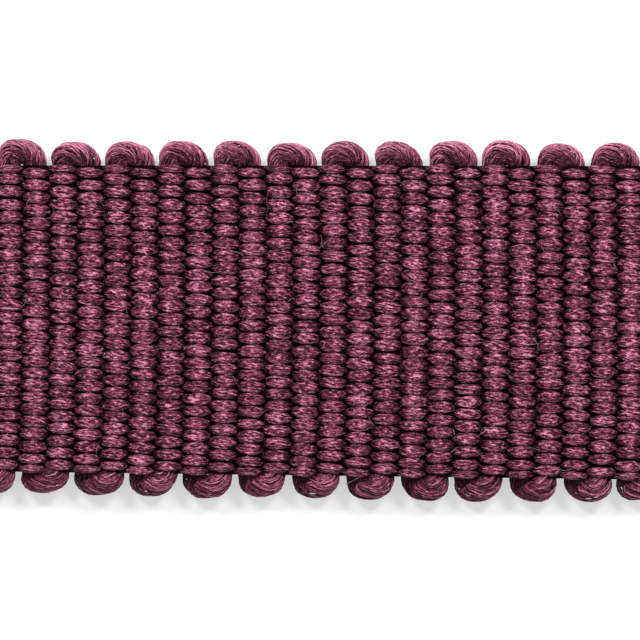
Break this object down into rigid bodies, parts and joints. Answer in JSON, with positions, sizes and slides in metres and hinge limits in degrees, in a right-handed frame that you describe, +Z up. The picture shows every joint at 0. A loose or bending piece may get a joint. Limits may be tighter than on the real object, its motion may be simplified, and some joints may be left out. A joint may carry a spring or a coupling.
{
  "type": "gimp trim",
  "caption": "Ribbed woven gimp braid, a cut length lying flat, with a thick weft roping that turns in a round scallop loop along both long edges.",
  "frame": {"origin": "centre of the braid's underside, on the surface that it lies on", "axes": "+X along the braid, +Y across it, +Z up out of its face"},
  "size_m": [0.0607, 0.0254, 0.0023],
  "materials": {
    "warp_silk": "silky plied yarn, low sheen",
    "weft_silk": "silky filament roping, satin sheen"
  },
  "bodies": {
    "root": {"warp_web": "warp_silk", "weft_roping": "weft_silk"}
  },
  "joints": []
}
